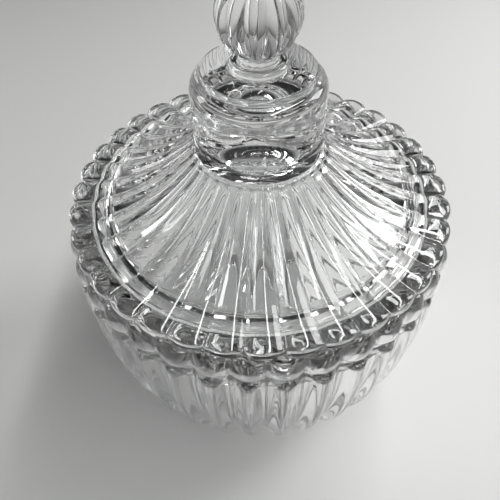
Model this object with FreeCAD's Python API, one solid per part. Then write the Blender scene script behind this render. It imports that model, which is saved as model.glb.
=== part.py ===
"""Covered crystal jar: a ribbed bowl and a lift-off ribbed lid with a ball finial.

Millimetres. +Z is up. The origin is the centre of the foot, on the surface the jar stands on.
"""
import FreeCAD, Part

import math
import os

from FreeCAD import Vector

# Overall sizes
rim_radius = 75.0            # over the lobe tips of the lid's edge
bowl_height = 108.0          # foot to the seat that the lid rests on
rib_count = 36               # ribs on the lid, and on the bowl
lid_turn = 1.2               # degrees from the front to the nearest lid rib, towards +X
bowl_turn = -2.8             # degrees from the front to the nearest bowl rib, towards +X

# Bowl
belly_bulge = 3.3            # how far the belly stands out past the rim
belly_drop = 30.0            # from the seat down to the widest level
foot_radius = 45.0
rib_depth = 4.0              # crest to valley, on the body
band_height = 14.0           # of the lobed band under the seat
band_bulge = 2.2             # how far the band's lobes stand out past the lid's edge
band_notch = 2.6             # crest to valley, round the band
band_crown_inset = 4.0       # from the lid's lobe tips in to where the band's rounded top ends
groove_height = 1.6          # between the band and the body
groove_depth = 1.3
bowl_wall = 7.5              # behind the valleys of the ribs
floor_thickness = 11.0
foot_recess_radius = 37.0
foot_recess_depth = 1.5
mouth_relief = 2.0           # straight mouth below the end of the lid's locating ring

# Lid
flange_thickness = 5.6
lobe_notch = 2.2             # depth of the notches round the lid's edge
edge_draft = 1.0             # how far the edge draws in down to the seat
rib_height_ratio = 0.03      # rib height over the radius it stands at
dome_rise = 22.9             # from the top of the flange to the foot of the collar
dome_curve = 2.2             # exponent of the bell shape
lid_wall = 5.6
locating_ring_width = 6.0
locating_ring_depth = 6.0
locating_clearance = 1.0     # all round, between the locating ring and the bowl's mouth
flange_seat_width = 10.0     # from the locating ring out to the lobe tips

# Collar, shoulder and stem
collar_radius = 23.3
rib_end_ledge = 1.2          # how far the ribs' ends stand out round the collar's foot
collar_height = 21.0
collar_solid_height = 16.0   # solid glass between the collar's top and the hollow of the lid
crown_radius = 9.5           # of the domed end of the lid's hollow, under the collar
crown_dome_height = 9.0
shoulder_height = 5.6
disc_radius = 19.2
disc_edge_height = 2.6
step_width = 0.6             # from the disc's edge in to the top of the shoulder
ring_radius = 9.6
ring_height = 2.6
waist_radius = 6.6
waist_height = 2.6

# Ball finial
ball_radius = 13.6
ball_flutes = 12
ball_turn = 11.0             # degrees from the front to the nearest groove, towards +X
ball_notch = 1.5
ball_tip_radius = 1.5

mouth_radius = rim_radius - flange_seat_width + locating_clearance
ring_outer_radius = mouth_radius - locating_clearance
ring_inner_radius = ring_outer_radius - locating_ring_width
flange_top = bowl_height + flange_thickness
collar_foot = flange_top + dome_rise
collar_top = collar_foot + collar_height
disc_top = collar_top + shoulder_height + disc_edge_height
ring_top = disc_top + ring_height
waist_top = ring_top + waist_height
ball_centre = waist_top + math.sqrt(ball_radius ** 2 - waist_radius ** 2)
FRONT = -90.0                # the heading of -Y
OVERRUN = 1.0                # how far cutting shapes run past the faces they open


def polar(radius, heading, height):
    angle = math.radians(heading)
    return Vector(radius * math.cos(angle), radius * math.sin(angle), height)


def lobed_wire(count, turn, end, middle):
    """Closed ring of equal arcs. end and middle are the (radius, height) of each arc's ends and middle.

    turn is the angle from the front to the middle of the nearest arc.
    """
    pitch = 360.0 / count
    edges = []
    for step in range(count):
        heading = FRONT + turn + step * pitch
        first = polar(end[0], heading - pitch / 2, end[1])
        centre = polar(middle[0], heading, middle[1])
        last = polar(end[0], heading + pitch / 2, end[1])
        edges.append(Part.Arc(first, centre, last).toShape())
    return Part.Wire(edges)


def turned(points):
    """Solid of revolution about Z through a closed outline of (radius, height) points."""
    outline = [Vector(radius, 0, height) for radius, height in points]
    face = Part.Face(Part.makePolygon(outline + outline[:1]))
    solid = face.revolve(Vector(0, 0, 0), Vector(0, 0, 1), 360)
    return solid if solid.Volume > 0 else solid.reversed()


def ease(share):
    """Smooth step from 0 to 1."""
    share = min(max(share, 0.0), 1.0)
    return share * share * (3 - 2 * share)


def bowl_ridge_radius(height):
    """Radius over the ridges: a quarter ellipse from the foot to the belly, then in to the rim."""
    belly_height = bowl_height - belly_drop
    belly_radius = rim_radius + belly_bulge
    if height >= belly_height:
        return belly_radius - belly_bulge * ((height - belly_height) / belly_drop) ** 2
    fall = 1 - height / belly_height
    return foot_radius + (belly_radius - foot_radius) * math.sqrt(1 - fall * fall)


def bowl_rib_depth(height):
    """Crest to valley depth of the body's ribs: nothing at the foot, full above the floor."""
    return rib_depth * ease(height / (2 * floor_thickness))


def bowl_outside():
    """The ribbed body, the groove and the lobed band, lofted through level rings from the foot up."""
    belly_height = bowl_height - belly_drop
    band_foot = bowl_height - band_height
    body_top = band_foot - groove_height
    rings = []
    for angle in range(0, 91, 9):
        level = belly_height * (1 - math.cos(math.radians(angle)))
        rings.append((bowl_ridge_radius(level), level, bowl_rib_depth(level)))
    body_radius = bowl_ridge_radius(body_top)
    rings += [(body_radius, body_top, rib_depth),
              (body_radius - groove_depth, body_top + groove_height / 2, band_notch)]
    band_crown_radius = rim_radius - band_crown_inset
    for angle in range(-60, 91, 15):
        swing = math.radians(angle)
        rings.append((band_crown_radius + (band_crown_inset + band_bulge) * math.cos(swing),
                      bowl_height - band_height / 2 * (1 - math.sin(swing)), band_notch))
    wires = [lobed_wire(rib_count, bowl_turn, (crest - depth, level), (crest, level))
             for crest, level, depth in rings]
    return Part.makeLoft(wires, True, True)


def make_bowl():
    belly_height = bowl_height - belly_drop
    deep_radius = rim_radius + belly_bulge - rib_depth - bowl_wall
    side_height = belly_height - floor_thickness
    cavity = [(0, bowl_height + OVERRUN), (0, floor_thickness)]
    for angle in range(0, 91, 10):
        swing = math.radians(angle)
        cavity.append((foot_recess_radius + (deep_radius - foot_recess_radius) * math.sin(swing),
                       floor_thickness + side_height * (1 - math.cos(swing))))
    cavity += [(mouth_radius, bowl_height - locating_ring_depth - mouth_relief),
               (mouth_radius, bowl_height + OVERRUN)]
    recess = [(0, -OVERRUN), (foot_recess_radius, -OVERRUN), (foot_recess_radius, 0),
              (foot_recess_radius - foot_recess_depth, foot_recess_depth), (0, foot_recess_depth)]
    return bowl_outside().cut([turned(cavity), turned(recess)])


def dome_crest_height(radius):
    """Height over the crest of the ribs: nearly level at the edge, steep at the collar."""
    share = (rim_radius - radius) / (rim_radius - collar_radius)
    return flange_top + dome_rise * share ** dome_curve


def lid_outside():
    """The flange's round edge and the ribbed dome, lofted from the seat to the collar."""
    middle_height = bowl_height + flange_thickness / 2
    edge = flange_thickness / 2
    wires = [
        lobed_wire(rib_count, lid_turn, (rim_radius - lobe_notch - edge_draft, bowl_height),
                   (rim_radius - edge_draft, bowl_height)),
        lobed_wire(rib_count, lid_turn, (rim_radius - lobe_notch, middle_height),
                   (rim_radius, middle_height)),
        lobed_wire(rib_count, lid_turn, (rim_radius - lobe_notch - edge / 2, flange_top - lobe_notch),
                   (rim_radius - edge / 3, flange_top - edge / 3)),
    ]
    start = rim_radius - edge * 2
    end = collar_radius + rib_end_ledge
    steps = 8
    for step in range(steps):
        radius = start + (end - start) * step / steps
        crest = dome_crest_height(radius)
        wires.append(lobed_wire(rib_count, lid_turn, (radius, crest - rib_height_ratio * radius),
                                (radius, crest)))
    wires.append(lobed_wire(rib_count, lid_turn, (end - rib_end_ledge / 2, collar_foot),
                            (end, collar_foot)))
    return Part.makeLoft(wires, True, True)


def lid_hollow():
    """The open underside, a wall's thickness inside the ribs, with a domed end under the collar."""
    below = bowl_height - locating_ring_depth - OVERRUN
    outline = [(0, below), (ring_inner_radius, below)]
    reach = ring_inner_radius - collar_radius
    for step in range(7):
        radius = ring_inner_radius - reach * step / 6
        outline.append((radius, dome_crest_height(radius) - lid_wall))
    dome_foot = collar_top - collar_solid_height - crown_dome_height
    for angle in range(15, 91, 15):
        swing = math.radians(angle)
        outline.append((crown_radius * math.cos(swing), dome_foot + crown_dome_height * math.sin(swing)))
    return turned(outline)


def collar_and_stem():
    """The plain collar, its rounded shoulder, the disc, and the small ring and waist over it."""
    step_radius = disc_radius + step_width
    root = flange_thickness / 2
    outline = [(0, collar_foot - root), (collar_radius, collar_foot - root), (collar_radius, collar_top)]
    for angle in range(15, 91, 15):
        swing = math.radians(angle)
        outline.append((step_radius + (collar_radius - step_radius) * math.cos(swing),
                        collar_top + shoulder_height * math.sin(swing)))
    outline += [(disc_radius - step_width, collar_top + shoulder_height),
                (disc_radius, collar_top + shoulder_height + step_width),
                (disc_radius, disc_top - step_width), (disc_radius - step_width, disc_top),
                (ring_radius, disc_top), (ring_radius, ring_top - ring_height / 2),
                (ring_radius - ring_height / 2, ring_top), (waist_radius, ring_top),
                (waist_radius, ball_centre), (0, ball_centre)]
    return turned(outline)


def ball():
    """The fluted ball, lofted through level rings from inside the waist to its tip."""
    bottom = -math.acos(waist_radius / 2 / ball_radius)
    top = math.acos(ball_tip_radius / ball_radius)
    steps = 10
    wires = []
    for step in range(steps + 1):
        swing = bottom + (top - bottom) * step / steps
        radius = ball_radius * math.cos(swing)
        notch = ball_notch * radius / ball_radius
        level = ball_centre + ball_radius * math.sin(swing)
        wires.append(lobed_wire(ball_flutes, ball_turn + 180.0 / ball_flutes, (radius - notch, level),
                                (radius, level)))
    return Part.makeLoft(wires, True, False)


def make_lid():
    ring_foot = bowl_height - locating_ring_depth
    ring = turned([(0, ring_foot), (ring_outer_radius, ring_foot),
                   (ring_outer_radius, bowl_height + flange_thickness / 2),
                   (0, bowl_height + flange_thickness / 2)])
    solid = lid_outside().fuse([collar_and_stem(), ball(), ring])
    return solid.cut(lid_hollow())


os.makedirs("parts", exist_ok=True)
for name, shape in (("bowl", make_bowl()), ("lid", make_lid())):
    box = shape.BoundBox
    print(name, len(shape.Solids), "solid", shape.isValid(), round(shape.Volume), "mm3",
          [round(v, 2) for v in (box.XMin, box.YMin, box.ZMin, box.XMax, box.YMax, box.ZMax)])
    shape.exportStep(os.path.join("parts", name + ".step"))
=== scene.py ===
"""Covered crystal jar: a ribbed bowl and a ribbed lid with a ball finial.

Laid out as a small add-on and run as a script.
Metres. The jar stands on the floor at the origin, with +Z up and its front towards -Y.
"""

import math

import bpy
from bpy.props import FloatProperty, FloatVectorProperty, IntProperty, PointerProperty
from mathutils import Matrix, Vector


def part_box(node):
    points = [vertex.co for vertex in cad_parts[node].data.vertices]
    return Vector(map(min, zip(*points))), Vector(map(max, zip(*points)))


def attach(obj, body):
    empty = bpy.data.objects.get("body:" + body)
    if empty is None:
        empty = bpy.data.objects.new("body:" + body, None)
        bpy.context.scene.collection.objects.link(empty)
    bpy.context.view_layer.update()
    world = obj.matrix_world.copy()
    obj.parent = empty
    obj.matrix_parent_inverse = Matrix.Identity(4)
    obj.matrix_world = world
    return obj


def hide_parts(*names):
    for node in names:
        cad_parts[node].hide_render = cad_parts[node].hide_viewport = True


bl_info = {
    "name": "Covered crystal jar",
    "version": (1, 0, 0),
    "blender": (4, 5, 0),
    "location": "3D View > Sidebar > Crystal jar",
    "description": "A ribbed crystal bowl with a ribbed lid and ball finial, and a plain stage for it",
    "category": "Add Mesh",
}

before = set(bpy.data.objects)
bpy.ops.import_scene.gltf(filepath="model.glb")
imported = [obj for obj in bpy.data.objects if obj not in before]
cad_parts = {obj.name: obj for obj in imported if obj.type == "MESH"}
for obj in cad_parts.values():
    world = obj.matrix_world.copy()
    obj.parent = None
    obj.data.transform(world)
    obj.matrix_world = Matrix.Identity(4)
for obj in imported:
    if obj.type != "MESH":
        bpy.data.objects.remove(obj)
MM = 0.001
HAIR = 0.05 * MM             # the smallest step that keeps an edge crisp
SEAM = 0.002 * MM            # points nearer than this become one
FRONT = math.radians(270)    # the heading of -Y
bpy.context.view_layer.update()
BOWL_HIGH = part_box("bowl")[1]


def length(name, description, default):
    """A size in metres that shows in the scene's own units."""
    return FloatProperty(name=name, description=description, default=default, min=0.0, unit="LENGTH",
                         subtype="DISTANCE", precision=5)


def number(name, description, default):
    """A plain number, such as a share or an exponent."""
    return FloatProperty(name=name, description=description, default=default)


class JarSizes(bpy.types.PropertyGroup):
    """Sizes of the bowl and lid."""

    segments: IntProperty(name="Segments", description="Faces round the jar, a multiple of the ribs",
                          default=576)
    ribs: IntProperty(name="Ribs", description="Ribs on the lid and on the bowl", default=36)
    valley_round: number("Valley round", "Share of a rib's depth that rounds its valley", 0.06)
    edge_roundness: number("Edge roundness", "Of the lobes at the lid's edge; low is flat", 0.7)
    rib_roundness: number("Lid rib roundness", "Of the lid's ribs away from its edge; low is flat", 1.2)
    bowl_roundness: number("Bowl rib roundness", "Of the bowl's ribs; low is flat", 1.6)
    edge_power: number("Edge power", "Below 1 squares the section of the lid's edge", 0.75)
    dome_curve: number("Dome curve", "Exponent of the lid's bell shape", 2.2)
    edge_round: length("Edge round", "Small rounding of the edges of the ring and disc", 0.6 * MM)
    rim_round: length("Rim round", "Rounding inside the bowl's mouth", 0.8 * MM)
    mouth_relief: length("Mouth relief", "Straight mouth below the end of the locating ring", 2.0 * MM)
    rib_end: length("Rib end", "How far out from the collar the ribs end", 1.6 * MM)
    lid_turn: FloatProperty(name="Lid turn", description="From the front to the nearest lid rib",
                            default=math.radians(1.2), subtype="ANGLE")
    bowl_turn: FloatProperty(name="Bowl turn", description="From the front to the nearest bowl rib",
                             default=math.radians(-2.8), subtype="ANGLE")
    rim_radius: length("Rim radius", "Over the lobes of the lid's edge", 75.0 * MM)
    seat: length("Seat height", "From the foot to the seat of the lid", BOWL_HIGH[2])
    air_gap: length("Air gap", "Film of air between the bowl's rim and the lid", 0.12 * MM)
    belly_bulge: length("Belly bulge", "How far the belly stands out past the rim", 3.15 * MM)
    belly_drop: length("Belly drop", "From the seat down to the widest level", 30.0 * MM)
    foot_radius: length("Foot radius", "Outside of the flat foot ring", 45.0 * MM)
    foot_recess_radius: length("Recess radius", "Of the recess under the foot", 37.0 * MM)
    foot_recess: length("Recess depth", "Of the recess under the foot", 1.5 * MM)
    rib_depth: length("Rib depth", "Crest to valley of the bowl's ribs", 4.0 * MM)
    band_height: length("Band height", "Of the lobed band under the seat", 14.0 * MM)
    band_bulge: length("Band bulge", "How far the band stands out past the lid's edge", 2.1 * MM)
    band_crown: length("Band crown", "Radius where the band's rounded top meets the seat", 73.4 * MM)
    band_notch: length("Band notch", "Crest to valley round the band", 2.6 * MM)
    groove_height: length("Groove height", "Between the band and the ribs", 1.6 * MM)
    groove_depth: length("Groove depth", "Between the band and the ribs", 2.4 * MM)
    bowl_wall: length("Bowl wall", "Glass behind the valleys of the ribs", 7.5 * MM)
    floor_thickness: length("Floor thickness", "Glass under the cavity", 11.0 * MM)
    mouth_radius: length("Mouth radius", "Inside of the bowl's rim", 66.0 * MM)
    flange_thickness: length("Flange thickness", "At the lid's edge", 5.6 * MM)
    lobe_notch: length("Lobe notch", "Depth of the notches round the lid's edge", 2.2 * MM)
    dome_rise: length("Dome rise", "From the flange's top to the collar's foot", 22.9 * MM)
    lid_wall: length("Lid wall", "Glass between the ribs' crests and the hollow", 5.6 * MM)
    ring_radius: length("Locating ring", "Outside of the ring that drops into the mouth", 65.0 * MM)
    ring_width: length("Locating ring width", "Thickness of that ring", 6.0 * MM)
    ring_depth: length("Locating ring depth", "How far it drops below the seat", 6.0 * MM)
    collar_radius: length("Collar radius", "Of the plain collar", 23.3 * MM)
    collar_height: length("Collar height", "Of the plain collar", 21.0 * MM)
    crown_solid: length("Solid crown", "Glass between the collar's top and the hollow", 16.0 * MM)
    crown_radius: length("Crown radius", "Of the hollow's domed end", 9.5 * MM)
    crown_dome: length("Crown dome", "Height of the hollow's domed end", 9.0 * MM)
    shoulder_height: length("Shoulder height", "Of the rounded shoulder on the collar", 5.6 * MM)
    disc_radius: length("Disc radius", "Of the disc on the shoulder", 19.2 * MM)
    disc_height: length("Disc height", "Of the disc on the shoulder", 2.6 * MM)
    stem_radius: length("Stem ring radius", "Of the ring under the ball", 9.6 * MM)
    stem_height: length("Stem ring height", "Of the ring under the ball", 2.6 * MM)
    waist_radius: length("Waist radius", "Narrowest place under the ball", 6.6 * MM)
    waist_height: length("Waist height", "Of the waist under the ball", 2.6 * MM)
    ball_radius: length("Ball radius", "Of the finial, over its flutes' crests", 13.6 * MM)
    ball_flatness: number("Ball flatness", "Height of the finial over its width", 0.993)
    ball_flutes: IntProperty(name="Ball flutes", description="Lobes round the finial", default=12)
    ball_turn: FloatProperty(name="Ball turn", description="From the front to the nearest ball lobe",
                             default=math.radians(26.0), subtype="ANGLE")
    ball_notch: length("Ball notch", "Depth between the finial's lobes", 1.5 * MM)


class CrystalLook(bpy.types.PropertyGroup):
    """Colours and finish of the crystal and the stage."""

    tint: FloatVectorProperty(name="Tint", description="Colour of the light that passes", subtype="COLOR",
                              default=(0.985, 0.99, 0.99), min=0.0, max=1.0)
    ior: FloatProperty(name="Index", description="Refractive index of lead crystal", default=1.545)
    floor_colour: FloatVectorProperty(name="Floor", description="Colour of the floor", subtype="COLOR",
                                      default=(0.74, 0.74, 0.73), min=0.0, max=1.0)


class Outline:
    """Points of a turned outline, each with its radius, height and the ribs pressed in there."""

    def __init__(self):
        self.points = []

    def add(self, radius, height, depth=0.0, ribs=1, turn=0.0, roundness=1.0):
        self.points.append((max(radius, 0.0), height, depth, ribs, turn, roundness))

    def arc(self, centre, radii, start, end, steps, **lobes):
        """Points of an elliptical arc about centre, from start to end in degrees."""
        for step in range(steps + 1):
            swing = math.radians(start + (end - start) * step / steps)
            self.add(centre[0] + radii[0] * math.cos(swing), centre[1] + radii[1] * math.sin(swing), **lobes)

    def mesh(self, name):
        """The outline as a mesh of loose points that carry their ribs as attributes."""
        mesh = bpy.data.meshes.new(name)
        mesh.from_pydata([(p[0], 0, p[1]) for p in self.points], [], [])
        for column, key in enumerate(("depth", "ribs", "turn", "roundness"), start=2):
            layer = mesh.attributes.new(key, "FLOAT", "POINT")
            layer.data.foreach_set("value", [float(p[column]) for p in self.points])
        return mesh


def ease(share):
    """Smooth step from 0 to 1."""
    share = min(max(share, 0.0), 1.0)
    return share * share * (3 - 2 * share)


def lid_rise(sizes, radius):
    """Height of the ribs' crests: nearly level at the edge, steep at the collar."""
    share = (sizes.rim_radius - radius) / (sizes.rim_radius - sizes.collar_radius)
    return sizes.seat + sizes.flange_thickness + sizes.dome_rise * max(share, 0.0) ** sizes.dome_curve


def collar_top(sizes):
    """Height of the plain collar's top, where its shoulder starts."""
    return sizes.seat + sizes.flange_thickness + sizes.dome_rise + sizes.collar_height


def add_underside(line, sizes):
    """From the domed end of the hollow, under the dome and round the locating ring, to the seat."""
    ring_in = sizes.ring_radius - sizes.ring_width
    dome_foot = collar_top(sizes) - sizes.crown_solid - sizes.crown_dome
    inner_end = sizes.collar_radius
    inner_top = lid_rise(sizes, inner_end) - sizes.lid_wall
    line.arc((0, dome_foot), (sizes.crown_radius, sizes.crown_dome), 90, 12, 12)
    flare_share = 0.42
    flare_lift = 1.4 * MM
    line.add((sizes.crown_radius + inner_end) * flare_share, (dome_foot + inner_top) / 2 + flare_lift)
    steps = 16
    for step in range(steps + 1):
        radius = inner_end + (ring_in - inner_end) * step / steps
        line.add(radius, lid_rise(sizes, radius) - sizes.lid_wall)
    line.add(ring_in, sizes.seat + sizes.edge_round)
    half = sizes.ring_width / 2
    line.arc((ring_in + half, sizes.seat - sizes.ring_depth + half), (half, half), 180, 360, 12)
    seat = sizes.seat + sizes.air_gap
    corner = sizes.edge_round
    line.add(sizes.ring_radius, seat - corner)
    line.arc((sizes.ring_radius + corner, seat - corner), (corner, corner), 180, 90, 3)


def add_edge_and_ribs(line, sizes):
    """From the seat, round the lobed edge and in along the ribs to their ends round the collar."""
    ribs = {"ribs": sizes.ribs, "turn": sizes.lid_turn}
    seat = sizes.seat + sizes.air_gap
    edge = sizes.flange_thickness / 2
    centre = (sizes.rim_radius - edge, sizes.seat + edge + sizes.air_gap / 2)
    reach = edge - sizes.air_gap / 2
    seat_start = sizes.ring_radius + sizes.edge_round
    for step in range(1, 4):
        line.add(seat_start + (centre[0] - seat_start) * step / 4, seat, **ribs)
    steps = 12
    lobe_growth = 3.5
    for step in range(steps + 1):
        share = step / steps
        swing = math.radians(-90 + 170 * share)
        out = math.copysign(abs(math.cos(swing)) ** sizes.edge_power, math.cos(swing))
        up = math.copysign(abs(math.sin(swing)) ** sizes.edge_power, math.sin(swing))
        line.add(centre[0] + edge * out, centre[1] + reach * up,
                 sizes.lobe_notch * min(1.0, share * lobe_growth), roundness=sizes.edge_roundness, **ribs)
    start = centre[0] - edge * 0.1
    end = sizes.collar_radius + sizes.rib_end
    steps = 38
    blend_steps = 12
    gain = sizes.rib_roundness - sizes.edge_roundness
    for step in range(steps + 1):
        radius = start + (end - start) * step / steps
        line.add(radius, lid_rise(sizes, radius), sizes.lobe_notch * radius / sizes.rim_radius,
                 roundness=sizes.edge_roundness + gain * ease(step / blend_steps), **ribs)
    top = lid_rise(sizes, end)
    end_round = 0.9 * MM
    line.arc((end - end_round, top), (end_round, end_round), 20, 110, 4, depth=end_round / 2, **ribs)
    line.add(sizes.collar_radius + HAIR, top + 0.6 * MM, 2 * HAIR, **ribs)
    line.add(sizes.collar_radius, top + 1.2 * MM)


def add_collar_and_stem(line, sizes):
    """Up the collar and its rounded shoulder, over the disc and the stem's ring, to the waist."""
    top = collar_top(sizes)
    line.add(sizes.collar_radius, top - sizes.collar_height / 2)
    line.add(sizes.collar_radius, top - 0.8 * MM)
    corner = sizes.edge_round
    step_radius = sizes.disc_radius + corner
    line.arc((step_radius, top), (sizes.collar_radius - step_radius, sizes.shoulder_height), 0, 90, 10)
    disc_low = top + sizes.shoulder_height
    disc_top = disc_low + sizes.disc_height
    line.add(sizes.disc_radius, disc_low + HAIR)
    line.add(sizes.disc_radius - 2 * HAIR, disc_low + corner / 2)
    line.arc((sizes.disc_radius - corner, disc_top - corner), (corner, corner), 0, 90, 5)
    line.add(sizes.stem_radius + 2 * corner, disc_top + 2 * HAIR)
    half = sizes.stem_height / 2
    line.add(sizes.stem_radius - 2 * HAIR, disc_top + 5 * HAIR)
    line.arc((sizes.stem_radius - half, disc_top + half), (half, half), -20, 90, 7)
    waist_low = disc_top + sizes.stem_height
    line.add(sizes.waist_radius + corner / 2, waist_low + HAIR)
    line.add(sizes.waist_radius, waist_low + 0.4 * MM)


def add_ball(line, sizes):
    """Up the waist and over the fluted ball to its tip."""
    waist_top = (collar_top(sizes) + sizes.shoulder_height + sizes.disc_height + sizes.stem_height
                 + sizes.waist_height)
    lobes = {"ribs": sizes.ball_flutes, "turn": sizes.ball_turn}
    ball_centre = waist_top + math.sqrt(sizes.ball_radius ** 2 - sizes.waist_radius ** 2)
    line.add(sizes.waist_radius, waist_top - 0.4 * MM, **lobes)
    bottom = math.degrees(math.asin((waist_top - ball_centre) / sizes.ball_radius))
    steps = 26
    flute_start = 4
    for step in range(steps + 1):
        swing = math.radians(bottom + (90 - bottom) * step / steps)
        radius = sizes.ball_radius * math.cos(swing)
        line.add(radius, ball_centre + sizes.ball_flatness * sizes.ball_radius * math.sin(swing),
                 sizes.ball_notch * radius / sizes.ball_radius * min(1.0, step / flute_start), **lobes)


def lid_outline(sizes):
    """Outline of the lid, from the middle of its hollow, round the edge and up to the ball's tip."""
    line = Outline()
    add_underside(line, sizes)
    add_edge_and_ribs(line, sizes)
    add_collar_and_stem(line, sizes)
    add_ball(line, sizes)
    return line


def ridge_radius(sizes, height):
    """Radius over the bowl's ridges: a quarter ellipse up to the belly, then in to the rim."""
    belly_height = sizes.seat - sizes.belly_drop
    belly = sizes.rim_radius + sizes.belly_bulge
    if height >= belly_height:
        return belly - sizes.belly_bulge * ((height - belly_height) / sizes.belly_drop) ** 2
    fall = 1 - height / belly_height
    return sizes.foot_radius + (belly - sizes.foot_radius) * math.sqrt(max(0.0, 1 - fall * fall))


def add_foot(line, sizes):
    """From the middle of the recess under the foot out to the edge of the flat foot ring."""
    recess = sizes.foot_recess_radius
    lip = 0.2 * MM
    inner_corner = 0.8 * MM
    outer_corner = 0.6 * MM
    line.add(0, sizes.foot_recess)
    line.add(recess / 2, sizes.foot_recess)
    line.add(recess - 2 * sizes.foot_recess, sizes.foot_recess)
    line.add(recess - sizes.foot_recess, sizes.foot_recess * 0.8)
    line.add(recess, lip)
    line.add(recess + inner_corner, 0)
    line.add(sizes.foot_radius - outer_corner, 0)


def add_body(line, sizes):
    """Up the ribbed outside, over the belly, to the groove under the band."""
    ribs = {"ribs": sizes.ribs, "turn": sizes.bowl_turn, "roundness": sizes.bowl_roundness}
    belly_height = sizes.seat - sizes.belly_drop
    steps = 34
    rib_start = 9
    for step in range(steps + 1):
        swing = math.radians(2 + 88 * step / steps)
        height = belly_height * (1 - math.cos(swing))
        line.add(ridge_radius(sizes, height), height, sizes.rib_depth * ease(step / rib_start), **ribs)
    body_top = sizes.seat - sizes.band_height - sizes.groove_height
    steps = 8
    for step in range(1, steps + 1):
        height = belly_height + (body_top - belly_height) * step / steps
        line.add(ridge_radius(sizes, height), height, sizes.rib_depth, **ribs)


def add_band(line, sizes):
    """Through the groove, over the lobed band and in along the flat rim."""
    ribs = {"ribs": sizes.ribs, "turn": sizes.bowl_turn}
    band_foot = sizes.seat - sizes.band_height
    body_top = band_foot - sizes.groove_height
    top_radius = ridge_radius(sizes, body_top)
    groove_share = 0.4
    rib_share = 0.8
    groove_roundness = 1.3
    line.add(top_radius - sizes.groove_depth * groove_share, body_top + 0.5 * MM,
             sizes.rib_depth * rib_share, roundness=groove_roundness, **ribs)
    line.add(top_radius - sizes.groove_depth, band_foot - 0.2 * MM, sizes.band_notch, **ribs)
    half = sizes.band_height / 2
    reach = sizes.rim_radius + sizes.band_bulge - sizes.band_crown
    line.arc((sizes.band_crown, band_foot + half), (reach, half), -68, 88, 16, depth=sizes.band_notch, **ribs)
    line.add((sizes.band_crown + sizes.mouth_radius) / 2, sizes.seat)


def add_cavity(line, sizes):
    """Round the mouth's edge, down the side of the cavity and along its floor to the middle."""
    corner = sizes.rim_round
    recess = sizes.foot_recess_radius
    belly_height = sizes.seat - sizes.belly_drop
    deep = sizes.rim_radius + sizes.belly_bulge - sizes.rib_depth - sizes.bowl_wall
    line.arc((sizes.mouth_radius + corner, sizes.seat - corner), (corner, corner), 90, 180, 4)
    line.add(sizes.mouth_radius, sizes.seat - sizes.ring_depth - sizes.mouth_relief)
    line.add((sizes.mouth_radius + deep) / 2, (sizes.seat - sizes.ring_depth + belly_height) / 2)
    steps = 30
    for step in range(steps + 1):
        swing = math.radians(90 - 90 * step / steps)
        line.add(recess + (deep - recess) * math.sin(swing),
                 sizes.floor_thickness + (belly_height - sizes.floor_thickness) * (1 - math.cos(swing)))
    line.add(recess * 0.6, sizes.floor_thickness)
    line.add(0, sizes.floor_thickness)


def bowl_outline(sizes):
    """Outline of the bowl, from the middle of its foot, up the outside and down the cavity."""
    line = Outline()
    add_foot(line, sizes)
    add_body(line, sizes)
    add_band(line, sizes)
    add_cavity(line, sizes)
    return line


class Tree:
    """Short hand for building a node tree: each call adds one node and links its inputs."""

    def __init__(self, group):
        self.group = group

    def node(self, kind, inputs=(), **settings):
        node = self.group.nodes.new(kind)
        for key, value in settings.items():
            setattr(node, key, value)
        for key, value in dict(inputs).items():
            socket = node.inputs[key]
            if isinstance(value, bpy.types.NodeSocket):
                self.group.links.new(value, socket)
            else:
                socket.default_value = value
        return node

    def math(self, operation, first, second=0.0, third=0.0):
        return self.node("ShaderNodeMath", {0: first, 1: second, 2: third}, operation=operation).outputs[0]


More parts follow.
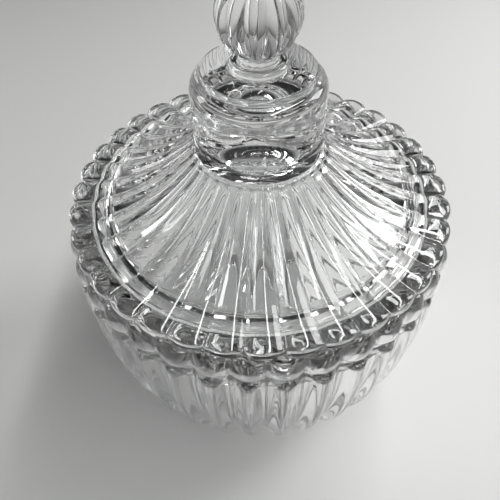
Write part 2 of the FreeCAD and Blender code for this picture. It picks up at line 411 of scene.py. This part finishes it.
def turning_tree():
    """Geometry nodes that turn an outline about Z and press its ribs in along the surface's normal."""
    group = bpy.data.node_groups.new("turn_with_ribs", "GeometryNodeTree")
    face = group.interface
    face.new_socket("Outline", in_out="INPUT", socket_type="NodeSocketGeometry")
    face.new_socket("Segments", in_out="INPUT", socket_type="NodeSocketInt")
    face.new_socket("Valley Round", in_out="INPUT", socket_type="NodeSocketFloat")
    face.new_socket("Finish", in_out="INPUT", socket_type="NodeSocketMaterial")
    face.new_socket("Geometry", in_out="OUTPUT", socket_type="NodeSocketGeometry")
    t = Tree(group)
    source = t.node("NodeGroupInput").outputs
    outline = source["Outline"]
    count = t.node("GeometryNodeAttributeDomainSize", {"Geometry": outline}).outputs["Point Count"]
    around = t.math("ADD", source["Segments"], 1.0)
    grid = t.node("GeometryNodeMeshGrid", {"Size X": 1.0, "Size Y": 1.0, "Vertices X": around,
                                           "Vertices Y": count}).outputs["Mesh"]
    place = t.node("ShaderNodeSeparateXYZ", {0: t.node("GeometryNodeInputPosition").outputs[0]}).outputs
    last = t.math("SUBTRACT", count, 1.0)
    row = t.math("ROUND", t.math("MULTIPLY", t.math("ADD", place["Y"], 0.5), last))
    share = t.math("ADD", place["X"], 0.5)
    position = t.node("GeometryNodeInputPosition").outputs[0]

    def at(offset):
        index = t.math("MINIMUM", t.math("MAXIMUM", t.math("ADD", row, offset), 0.0), last)
        return t.node("GeometryNodeSampleIndex", {"Geometry": outline, "Value": position, "Index": index},
                      data_type="FLOAT_VECTOR").outputs[0]

    def read(key):
        value = t.node("GeometryNodeInputNamedAttribute", {"Name": key}, data_type="FLOAT").outputs[0]
        return t.node("GeometryNodeSampleIndex", {"Geometry": outline, "Value": value, "Index": row},
                      data_type="FLOAT").outputs[0]

    def vector(operation, first, second):
        return t.node("ShaderNodeVectorMath", {0: first, 1: second}, operation=operation).outputs[0]

    along = vector("NORMALIZE", vector("SUBTRACT", at(1.0), at(-1.0)), (0, 0, 0))
    slope = t.node("ShaderNodeSeparateXYZ", {0: along}).outputs
    ribs = read("ribs")
    depth = read("depth")
    heading = t.math("MULTIPLY", share, math.tau)
    from_front = t.math("SUBTRACT", t.math("SUBTRACT", heading, FRONT), read("turn"))
    cell = t.math("MULTIPLY", from_front, t.math("DIVIDE", ribs, math.tau))
    side = t.math("MULTIPLY", t.math("SUBTRACT", cell, t.math("ROUND", cell)), 2.0)
    square = t.math("MULTIPLY", side, side)
    fall = t.math("SUBTRACT", 1.0, t.math("POWER", t.math("SUBTRACT", 1.0, square), read("roundness")))
    valley = source["Valley Round"]
    inward = t.math("MULTIPLY", depth, t.math("SMOOTH_MIN", fall, t.math("SUBTRACT", 1.0, valley), valley))
    spot = t.node("ShaderNodeSeparateXYZ", {0: at(0.0)}).outputs
    radius = t.math("SUBTRACT", spot["X"], t.math("MULTIPLY", inward, slope["Z"]))
    height = t.math("ADD", spot["Z"], t.math("MULTIPLY", inward, slope["X"]))
    moved = t.node("ShaderNodeCombineXYZ", {"X": t.math("MULTIPLY", radius, t.math("COSINE", heading)),
                                            "Y": t.math("MULTIPLY", radius, t.math("SINE", heading)),
                                            "Z": height}).outputs[0]
    turned = t.node("GeometryNodeSetPosition", {"Geometry": grid, "Position": moved}).outputs[0]
    closed = t.node("GeometryNodeMergeByDistance", {"Geometry": turned, "Distance": SEAM}).outputs[0]
    smooth = t.node("GeometryNodeSetShadeSmooth", {"Geometry": closed, "Shade Smooth": True}).outputs[0]
    real = t.node("GeometryNodeRealizeInstances", {"Geometry": smooth}).outputs[0]
    finish = t.node("GeometryNodeSetMaterial", {"Geometry": real, "Material": source["Finish"]}).outputs[0]
    t.node("NodeGroupOutput", {"Geometry": finish})
    return group


def turn_piece(name, outline, finish, sizes):
    """Turns an outline into a closed piece with its ribs, as a plain mesh."""
    piece = bpy.data.objects.new(name, outline.mesh(name + "_outline"))
    bpy.context.scene.collection.objects.link(piece)
    group = turning_tree()
    modifier = piece.modifiers.new("turning", "NODES")
    modifier.node_group = group
    values = {"Segments": sizes.segments, "Valley Round": sizes.valley_round, "Finish": finish}
    for item in group.interface.items_tree:
        if item.in_out == "INPUT" and item.name in values:
            modifier[item.identifier] = values[item.name]
    graph = bpy.context.evaluated_depsgraph_get()
    mesh = bpy.data.meshes.new_from_object(piece.evaluated_get(graph))
    piece.modifiers.remove(modifier)
    piece.data = mesh
    mesh.name = name
    return piece


def crystal(name, look):
    """Clear lead crystal with the faint waviness and haze of pressed glass."""
    material = bpy.data.materials.new(name)
    material.use_nodes = True
    t = Tree(material.node_tree)
    shader = material.node_tree.nodes["Principled BSDF"]
    shader.inputs["Base Color"].default_value = (*look.tint, 1)
    shader.inputs["IOR"].default_value = look.ior
    shader.inputs["Transmission Weight"].default_value = 1.0
    place = t.node("ShaderNodeTexCoord").outputs["Object"]
    waves = t.node("ShaderNodeTexNoise", {"Vector": place, "Scale": 90.0, "Detail": 1.5}).outputs["Fac"]
    bump = t.node("ShaderNodeBump", {"Strength": 0.25, "Distance": 0.00025, "Height": waves})
    t.group.links.new(bump.outputs["Normal"], shader.inputs["Normal"])
    haze = t.node("ShaderNodeTexNoise", {"Vector": place, "Scale": 35.0, "Detail": 4.0}).outputs["Fac"]
    soft = t.node("ShaderNodeMapRange", {"Value": haze, "From Min": 0.45, "From Max": 0.75,
                                         "To Min": 0.0, "To Max": 0.02}).outputs["Result"]
    t.group.links.new(soft, shader.inputs["Roughness"])
    return material


class JAR_OT_add_bowl(bpy.types.Operator):
    """Add the ribbed crystal bowl"""

    bl_idname = "jar.add_bowl"
    bl_label = "Add bowl"

    def execute(self, context):
        sizes = context.scene.jar_sizes
        finish = crystal("bowl_crystal", context.scene.jar_look)
        bowl = turn_piece("ribbed_bowl", bowl_outline(sizes), finish, sizes)
        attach(bowl, "bowl")
        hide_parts("bowl")
        return {"FINISHED"}


class JAR_OT_add_lid(bpy.types.Operator):
    """Add the ribbed crystal lid with its collar and ball finial"""

    bl_idname = "jar.add_lid"
    bl_label = "Add lid"

    def execute(self, context):
        sizes = context.scene.jar_sizes
        finish = crystal("lid_crystal", context.scene.jar_look)
        lid = turn_piece("ribbed_lid", lid_outline(sizes), finish, sizes)
        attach(lid, "lid")
        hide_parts("lid")
        return {"FINISHED"}


class JAR_OT_add_stage(bpy.types.Operator):
    """Add the floor, the soft lights and the camera"""

    bl_idname = "jar.add_stage"
    bl_label = "Add stage"

    def execute(self, context):
        add_floor(context.scene.jar_look)
        add_lamps()
        add_camera(context.scene.jar_sizes)
        allow_deep_paths()
        return {"FINISHED"}


def allow_deep_paths():
    """More bounces than usual, so that less of the thick glass ends black. Some still does, by choice."""
    paths = bpy.context.scene.cycles
    paths.max_bounces = 16
    paths.transmission_bounces = 16
    paths.glossy_bounces = 7


class JAR_PT_panel(bpy.types.Panel):
    """Buttons for each part of the jar"""

    bl_label = "Crystal jar"
    bl_idname = "JAR_PT_panel"
    bl_space_type = "VIEW_3D"
    bl_region_type = "UI"
    bl_category = "Crystal jar"

    def draw(self, context):
        for operator in OPERATORS:
            self.layout.operator(operator.bl_idname)


def add_floor(look):
    """A plain pale floor, wide enough for every view."""
    mesh = bpy.data.meshes.new("floor")
    half = 1.5
    mesh.from_pydata([(-half, -half, 0), (half, -half, 0), (half, half, 0), (-half, half, 0)], [],
                     [(0, 1, 2, 3)])
    floor = bpy.data.objects.new("floor", mesh)
    bpy.context.scene.collection.objects.link(floor)
    material = bpy.data.materials.new("floor_paper")
    material.use_nodes = True
    shader = material.node_tree.nodes["Principled BSDF"]
    shader.inputs["Base Color"].default_value = (*look.floor_colour, 1)
    shader.inputs["Roughness"].default_value = 0.7
    mesh.materials.append(material)


def add_lamp(name, place, target, size, power, shadow=True):
    """A soft box that faces its target, and lights through the jar if it casts no shadow."""
    light = bpy.data.lights.new(name, "AREA")
    light.shape = "RECTANGLE"
    light.size, light.size_y = size
    light.energy = power
    light.use_shadow = shadow
    lamp = bpy.data.objects.new(name, light)
    bpy.context.scene.collection.objects.link(lamp)
    lamp.location = place
    lamp.rotation_euler = (Vector(target) - Vector(place)).to_track_quat("-Z", "Y").to_euler()


def add_lamps():
    """Soft boxes to the right, to the left and above, and a dim surround that fades upwards."""
    centre = (0, 0, 0.1)
    add_lamp("window_right", (0.75, 0.35, 0.55), centre, (0.35, 0.5), 4.6)
    add_lamp("panel_left", (-0.8, 0.2, 0.4), centre, (0.2, 0.5), 1.8, shadow=False)
    add_lamp("strip_above", (0.22, 0.0, 0.75), (0.22, 0.0, 0), (0.07, 1.0), 3.8)
    world = bpy.data.worlds.new("surround")
    bpy.context.scene.world = world
    world.use_nodes = True
    t = Tree(world.node_tree)
    direction = t.node("ShaderNodeTexCoord").outputs["Generated"]
    height = t.node("ShaderNodeSeparateXYZ", {0: direction}).outputs["Z"]
    glow = t.node("ShaderNodeMapRange", {"Value": height, "From Min": 0.05, "From Max": 0.45,
                                         "To Min": 0.3, "To Max": 0.02}).outputs["Result"]
    t.group.links.new(glow, world.node_tree.nodes["Background"].inputs["Strength"])
    world.node_tree.nodes["Background"].inputs["Color"].default_value = (1, 1, 1, 1)


def add_camera(sizes):
    """A close camera above the front, looking steeply down and leaning a little to one side."""
    away = 2.70 * sizes.rim_radius
    rise = math.radians(43.6)
    aim_below = math.radians(7.15)
    down = rise + aim_below
    swing = math.radians(-1.60)
    lean = math.radians(-1.30)
    sensor = 36.0
    lens_over_sensor = 0.998
    rim_height = sizes.seat + 4.5 * MM
    place = Vector((0, -away * math.cos(rise), rim_height + away * math.sin(rise)))
    ahead = Vector((math.sin(swing) * math.cos(down), math.cos(swing) * math.cos(down), -math.sin(down)))
    right = Vector((math.cos(swing), -math.sin(swing), 0))
    above = right.cross(ahead)
    turned_right = math.cos(lean) * right + math.sin(lean) * above
    turned_above = math.cos(lean) * above - math.sin(lean) * right
    camera = bpy.data.objects.new("camera", bpy.data.cameras.new("camera"))
    bpy.context.scene.collection.objects.link(camera)
    axes = Matrix((turned_right, turned_above, -ahead)).transposed().to_4x4()
    camera.matrix_world = Matrix.Translation(place) @ axes
    camera.data.sensor_width = sensor
    camera.data.lens = sensor * lens_over_sensor
    camera.data.clip_start = 0.01
    bpy.context.scene.camera = camera
    bpy.context.scene.view_settings.view_transform = "Standard"


OPERATORS = (JAR_OT_add_bowl, JAR_OT_add_lid, JAR_OT_add_stage)
CLASSES = (JarSizes, CrystalLook, *OPERATORS, JAR_PT_panel)


def register():
    for cls in CLASSES:
        bpy.utils.register_class(cls)
    bpy.types.Scene.jar_sizes = PointerProperty(type=JarSizes)
    bpy.types.Scene.jar_look = PointerProperty(type=CrystalLook)


def unregister():
    del bpy.types.Scene.jar_look
    del bpy.types.Scene.jar_sizes
    for cls in reversed(CLASSES):
        bpy.utils.unregister_class(cls)


def main():
    register()
    bpy.ops.jar.add_bowl()
    bpy.ops.jar.add_lid()
    bpy.ops.jar.add_stage()


if __name__ == "__main__":
    main()
